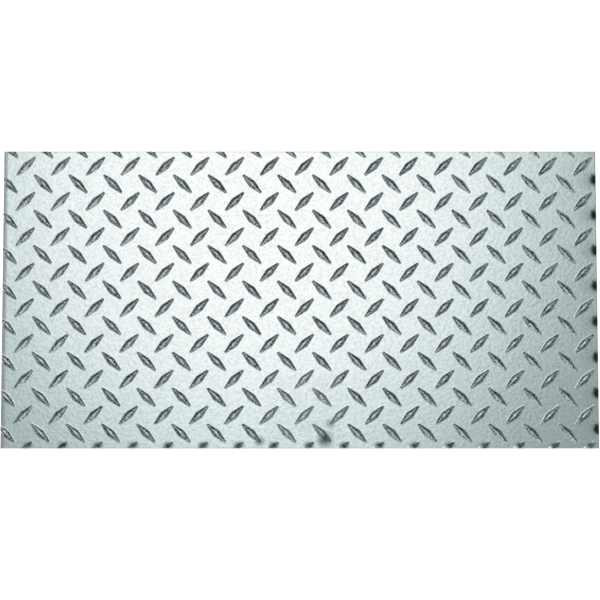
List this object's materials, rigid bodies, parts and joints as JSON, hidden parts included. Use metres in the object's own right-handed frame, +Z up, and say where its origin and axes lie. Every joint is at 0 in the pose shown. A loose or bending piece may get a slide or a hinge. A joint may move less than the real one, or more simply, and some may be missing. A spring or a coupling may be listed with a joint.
{
  "type": "embossed aluminium tread sheet",
  "caption": "Thin rectangular aluminium sheet embossed with an alternating diagonal tread pattern of hollow lugs, cut square on all four edges.",
  "frame": {"origin": "middle of the flat underside that the sheet lies on", "axes": "+X along the sheet, +Y across it towards the back edge, +Z up out of the tread face"},
  "size_m": [0.6096, 0.3048, 0.002],
  "materials": {
    "mill_aluminium": "bright mill finish"
  },
  "bodies": {
    "root": {"tread_sheet": "mill_aluminium"}
  },
  "joints": []
}
